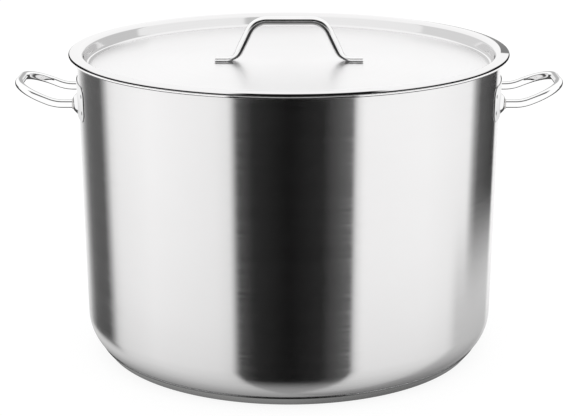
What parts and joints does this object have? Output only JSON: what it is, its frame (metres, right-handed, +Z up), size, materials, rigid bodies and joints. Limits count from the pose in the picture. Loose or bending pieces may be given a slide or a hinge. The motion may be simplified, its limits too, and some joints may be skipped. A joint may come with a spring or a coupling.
{
  "type": "stock pot",
  "caption": "Large round stainless stock pot with a sandwich base, two bent rod side handles on spot-welded plates, and a recessed lift-off lid with a rod grip.",
  "frame": {"origin": "centre of the base's flat underside, on the worktop", "axes": "+Z up through the lid's grip; +X towards the right side handle; the grip and both side handles lie along X; -Y is the front"},
  "size_m": [0.526, 0.422, 0.3248],
  "materials": {
    "shell_steel": "stainless steel, fine horizontal brushed satin",
    "lid_steel": "stainless steel, satin panel with a polished flange",
    "base_steel": "stainless steel, turned satin",
    "core_aluminium": "plain rolled disc, closed in",
    "handle_steel": "polished stainless rod",
    "plate_steel": "pressed and polished stainless sheet",
    "weld_steel": "cleaned weld metal"
  },
  "bodies": {
    "pot": {"pot_body": "shell_steel", "base_core": "core_aluminium", "base_cap": "base_steel", "left_handle_rod": "handle_steel", "right_handle_rod": "handle_steel", "left_handle_plate": "plate_steel", "right_handle_plate": "plate_steel", "left_leg_weld_beads": "weld_steel", "right_leg_weld_beads": "weld_steel", "left_plate_spot_welds": "weld_steel", "right_plate_spot_welds": "weld_steel"},
    "lid": {"lid_pan": "lid_steel", "lid_handle": "handle_steel", "lid_handle_spot_welds": "weld_steel"}
  },
  "joints": [
    {"name": "lid_lift", "type": "slide", "parent": "pot", "child": "lid", "axis": [0, 0, 1], "range_m": [0, 0.15]}
  ]
}
